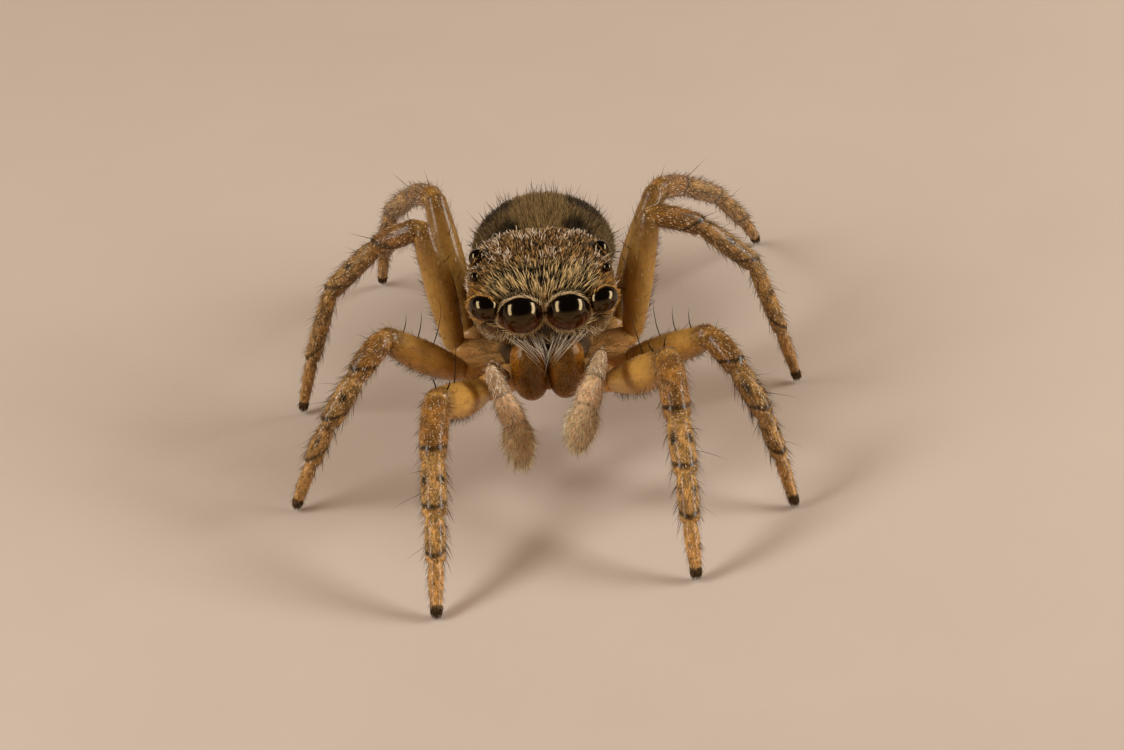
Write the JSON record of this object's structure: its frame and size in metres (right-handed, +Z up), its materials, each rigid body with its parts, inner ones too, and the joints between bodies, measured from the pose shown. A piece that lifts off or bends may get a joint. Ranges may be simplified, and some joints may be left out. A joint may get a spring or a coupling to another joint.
{
  "type": "jumping spider model",
  "caption": "Life-size still model of a small jumping spider standing alert on its legs, with large front eyes and short raised palps.",
  "frame": {"origin": "on the floor, below the middle of the outline seen from above", "axes": "+Z up from the floor, the spider faces -Y, +X towards its left legs"},
  "size_m": [0.0078, 0.0106, 0.0033],
  "materials": {
    "head_coat": "short scale-hairs, pale yellow over black",
    "abdomen_coat": "short velvety hair, dark with a paler middle band",
    "eye_lens": "deep brown to black, wet-looking gloss",
    "jaw_shell": "brown shell, semi-gloss, dark mottling",
    "thigh_skin": "amber, smooth, slightly translucent",
    "leg_skin": "orange-tan with dark rings, semi-gloss",
    "palp_skin": "pale buff-grey with fine hair",
    "belly_skin": "brown, smooth, semi-matte"
  },
  "bodies": {
    "root": {"carapace": "head_coat", "eye_anterior_median_left": "eye_lens", "eye_anterior_median_right": "eye_lens", "eye_anterior_lateral_left": "eye_lens", "eye_anterior_lateral_right": "eye_lens", "eye_posterior_median_left": "eye_lens", "eye_posterior_median_right": "eye_lens", "eye_posterior_lateral_left": "eye_lens", "eye_posterior_lateral_right": "eye_lens", "chelicera_left": "jaw_shell", "chelicera_right": "jaw_shell", "leg_1_left_femur": "thigh_skin", "leg_1_left_patella": "leg_skin", "leg_1_left_tibia": "leg_skin", "leg_1_left_metatarsus": "leg_skin", "leg_1_left_tarsus": "leg_skin", "leg_1_right_femur": "thigh_skin", "leg_1_right_patella": "leg_skin", "leg_1_right_tibia": "leg_skin", "leg_1_right_metatarsus": "leg_skin", "leg_1_right_tarsus": "leg_skin", "leg_2_left_femur": "thigh_skin", "leg_2_left_patella": "leg_skin", "leg_2_left_tibia": "leg_skin", "leg_2_left_metatarsus": "leg_skin", "leg_2_left_tarsus": "leg_skin", "leg_2_right_femur": "thigh_skin", "leg_2_right_patella": "leg_skin", "leg_2_right_tibia": "leg_skin", "leg_2_right_metatarsus": "leg_skin", "leg_2_right_tarsus": "leg_skin", "leg_3_left_femur": "thigh_skin", "leg_3_left_patella": "leg_skin", "leg_3_left_tibia": "leg_skin", "leg_3_left_metatarsus": "leg_skin", "leg_3_left_tarsus": "leg_skin", "leg_3_right_femur": "thigh_skin", "leg_3_right_patella": "leg_skin", "leg_3_right_tibia": "leg_skin", "leg_3_right_metatarsus": "leg_skin", "leg_3_right_tarsus": "leg_skin", "leg_4_left_femur": "thigh_skin", "leg_4_left_patella": "leg_skin", "leg_4_left_tibia": "leg_skin", "leg_4_left_metatarsus": "leg_skin", "leg_4_left_tarsus": "leg_skin", "leg_4_right_femur": "thigh_skin", "leg_4_right_patella": "leg_skin", "leg_4_right_tibia": "leg_skin", "leg_4_right_metatarsus": "leg_skin", "leg_4_right_tarsus": "leg_skin", "palp_left_arm": "palp_skin", "palp_left_tarsus": "palp_skin", "palp_right_arm": "palp_skin", "palp_right_tarsus": "palp_skin", "abdomen": "abdomen_coat", "sternum_with_coxae": "belly_skin", "pedicel": "belly_skin", "spinnerets": "belly_skin", "mouthparts": "jaw_shell"}
  },
  "joints": []
}
